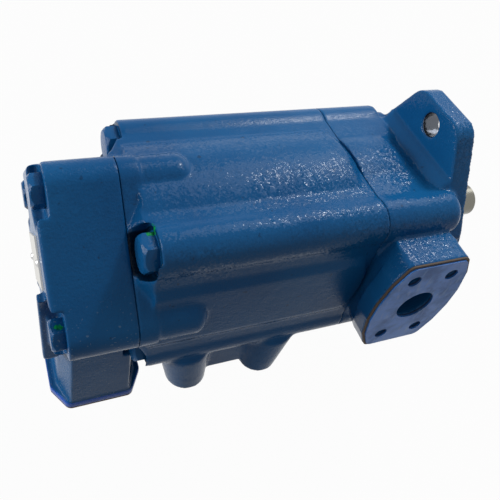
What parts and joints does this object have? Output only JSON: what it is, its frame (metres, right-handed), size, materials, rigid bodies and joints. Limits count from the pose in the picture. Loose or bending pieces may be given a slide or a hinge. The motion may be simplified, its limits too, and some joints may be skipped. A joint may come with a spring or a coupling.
{
  "type": "tandem hydraulic vane pump",
  "caption": "Flange-mounted tandem hydraulic vane pump with keyed shaft, shared inlet and separate outlets that turn shaft power into oil flow.",
  "frame": {"origin": "centre of the mounting flange's front face, on the shaft axis", "axes": "+X runs along the shaft towards its keyed end, +Z towards the upper mounting ear, and -Y is the way outlet 1 faces; the inlet and outlet 2 face -Z"},
  "size_m": [0.3047, 0.1418, 0.1956],
  "materials": {
    "housing_enamel": "gloss enamel over rough casting",
    "bolt_enamel": "gloss enamel",
    "ground_steel": "ground",
    "bearing_steel": "polished",
    "pressed_brass": "satin",
    "spring_steel": "phosphated",
    "seal_case": "pressed sheet",
    "seal_rubber": "matte",
    "backup_plastic": "matte",
    "ring_steel": "ground",
    "plate_iron": "machined",
    "flex_bronze": "lapped",
    "small_steel": "satin",
    "gasket_card": "matte card",
    "transit_sheet": "satin sheet",
    "nameplate_metal": "satin"
  },
  "bodies": {
    "housing": {"shaft_end_body": "housing_enamel", "inlet_body": "housing_enamel", "outlet_cover": "housing_enamel", "body_bolts": "bolt_enamel", "cover_bolts": "bolt_enamel", "bearing_outer_race": "bearing_steel", "tail_bush": "pressed_brass", "housing_snap_ring": "spring_steel", "shaft_seal_case": "seal_case", "shaft_seal_lip": "seal_rubber", "hub_seals": "seal_rubber", "body_joint_seal": "seal_rubber", "cover_joint_seal": "seal_rubber", "hub_backup_rings": "backup_plastic", "front_cam_ring": "ring_steel", "rear_cam_ring": "ring_steel", "front_inlet_plate": "plate_iron", "rear_inlet_plate": "plate_iron", "front_outlet_plate": "plate_iron", "rear_outlet_plate": "plate_iron", "front_flex_plates": "flex_bronze", "rear_flex_plates": "flex_bronze", "front_cartridge_screws": "small_steel", "rear_cartridge_screws": "small_steel", "front_locating_pins": "small_steel", "rear_locating_pins": "small_steel", "nameplate_screws": "small_steel", "outlet_1_gasket": "gasket_card", "outlet_2_gasket": "gasket_card", "outlet_1_sheet": "transit_sheet", "outlet_2_sheet": "transit_sheet", "nameplate": "nameplate_metal"},
    "shaft": {"drive_shaft": "ground_steel", "shaft_key": "ground_steel", "front_rotor": "ring_steel", "rear_rotor": "ring_steel", "bearing_inner_race": "bearing_steel", "shaft_snap_ring": "spring_steel"},
    "ball_cage": {"bearing_balls": "bearing_steel", "bearing_cage": "pressed_brass"},
    "front_vane_1": {"front_vane_1": "ring_steel"},
    "front_vane_2": {"front_vane_2": "ring_steel"},
    "front_vane_3": {"front_vane_3": "ring_steel"},
    "front_vane_4": {"front_vane_4": "ring_steel"},
    "front_vane_5": {"front_vane_5": "ring_steel"},
    "front_vane_6": {"front_vane_6": "ring_steel"},
    "front_vane_7": {"front_vane_7": "ring_steel"},
    "front_vane_8": {"front_vane_8": "ring_steel"},
    "front_vane_9": {"front_vane_9": "ring_steel"},
    "front_vane_10": {"front_vane_10": "ring_steel"},
    "rear_vane_1": {"rear_vane_1": "ring_steel"},
    "rear_vane_2": {"rear_vane_2": "ring_steel"},
    "rear_vane_3": {"rear_vane_3": "ring_steel"},
    "rear_vane_4": {"rear_vane_4": "ring_steel"},
    "rear_vane_5": {"rear_vane_5": "ring_steel"},
    "rear_vane_6": {"rear_vane_6": "ring_steel"},
    "rear_vane_7": {"rear_vane_7": "ring_steel"},
    "rear_vane_8": {"rear_vane_8": "ring_steel"},
    "rear_vane_9": {"rear_vane_9": "ring_steel"},
    "rear_vane_10": {"rear_vane_10": "ring_steel"}
  },
  "joints": [
    {"name": "shaft_spin", "type": "hinge", "parent": "housing", "child": "shaft", "pos_m": [0, 0, 0], "axis": [1, 0, 0], "continuous": true},
    {"name": "cage_spin", "type": "hinge", "parent": "housing", "child": "ball_cage", "pos_m": [0, 0, 0], "axis": [1, 0, 0], "continuous": true},
    {"name": "front_vane_1_slide", "type": "slide", "parent": "shaft", "child": "front_vane_1", "axis": [0, 0.9877, 0.1564], "range_m": [0, 0.000073]},
    {"name": "front_vane_2_slide", "type": "slide", "parent": "shaft", "child": "front_vane_2", "axis": [0, 0.7071, 0.7071], "range_m": [0, 0.0016]},
    {"name": "front_vane_3_slide", "type": "slide", "parent": "shaft", "child": "front_vane_3", "axis": [0, 0.1564, 0.9877], "range_m": [0, 0.0034]},
    {"name": "front_vane_4_slide", "type": "slide", "parent": "shaft", "child": "front_vane_4", "axis": [0, -0.454, 0.891], "range_m": [0, 0.00268]},
    {"name": "front_vane_5_slide", "type": "slide", "parent": "shaft", "child": "front_vane_5", "axis": [0, -0.891, 0.454], "range_m": [0, 0.00063]},
    {"name": "front_vane_6_slide", "type": "slide", "parent": "shaft", "child": "front_vane_6", "axis": [0, -0.9877, -0.1564], "range_m": [0, 0.000073]},
    {"name": "front_vane_7_slide", "type": "slide", "parent": "shaft", "child": "front_vane_7", "axis": [0, -0.7071, -0.7071], "range_m": [0, 0.0016]},
    {"name": "front_vane_8_slide", "type": "slide", "parent": "shaft", "child": "front_vane_8", "axis": [0, -0.1564, -0.9877], "range_m": [0, 0.0034]},
    {"name": "front_vane_9_slide", "type": "slide", "parent": "shaft", "child": "front_vane_9", "axis": [0, 0.454, -0.891], "range_m": [0, 0.00268]},
    {"name": "front_vane_10_slide", "type": "slide", "parent": "shaft", "child": "front_vane_10", "axis": [0, 0.891, -0.454], "range_m": [0, 0.00063]},
    {"name": "rear_vane_1_slide", "type": "slide", "parent": "shaft", "child": "rear_vane_1", "axis": [0, 0.9877, 0.1564], "range_m": [0, 0.000065]},
    {"name": "rear_vane_2_slide", "type": "slide", "parent": "shaft", "child": "rear_vane_2", "axis": [0, 0.7071, 0.7071], "range_m": [0, 0.00142]},
    {"name": "rear_vane_3_slide", "type": "slide", "parent": "shaft", "child": "rear_vane_3", "axis": [0, 0.1564, 0.9877], "range_m": [0, 0.00301]},
    {"name": "rear_vane_4_slide", "type": "slide", "parent": "shaft", "child": "rear_vane_4", "axis": [0, -0.454, 0.891], "range_m": [0, 0.00237]},
    {"name": "rear_vane_5_slide", "type": "slide", "parent": "shaft", "child": "rear_vane_5", "axis": [0, -0.891, 0.454], "range_m": [0, 0.000559]},
    {"name": "rear_vane_6_slide", "type": "slide", "parent": "shaft", "child": "rear_vane_6", "axis": [0, -0.9877, -0.1564], "range_m": [0, 0.000065]},
    {"name": "rear_vane_7_slide", "type": "slide", "parent": "shaft", "child": "rear_vane_7", "axis": [0, -0.7071, -0.7071], "range_m": [0, 0.00142]},
    {"name": "rear_vane_8_slide", "type": "slide", "parent": "shaft", "child": "rear_vane_8", "axis": [0, -0.1564, -0.9877], "range_m": [0, 0.00301]},
    {"name": "rear_vane_9_slide", "type": "slide", "parent": "shaft", "child": "rear_vane_9", "axis": [0, 0.454, -0.891], "range_m": [0, 0.00237]},
    {"name": "rear_vane_10_slide", "type": "slide", "parent": "shaft", "child": "rear_vane_10", "axis": [0, 0.891, -0.454], "range_m": [0, 0.000559]}
  ],
  "couplings": [
    {"joint": "cage_spin", "follows": "shaft_spin", "ratio": 0.39688}
  ]
}
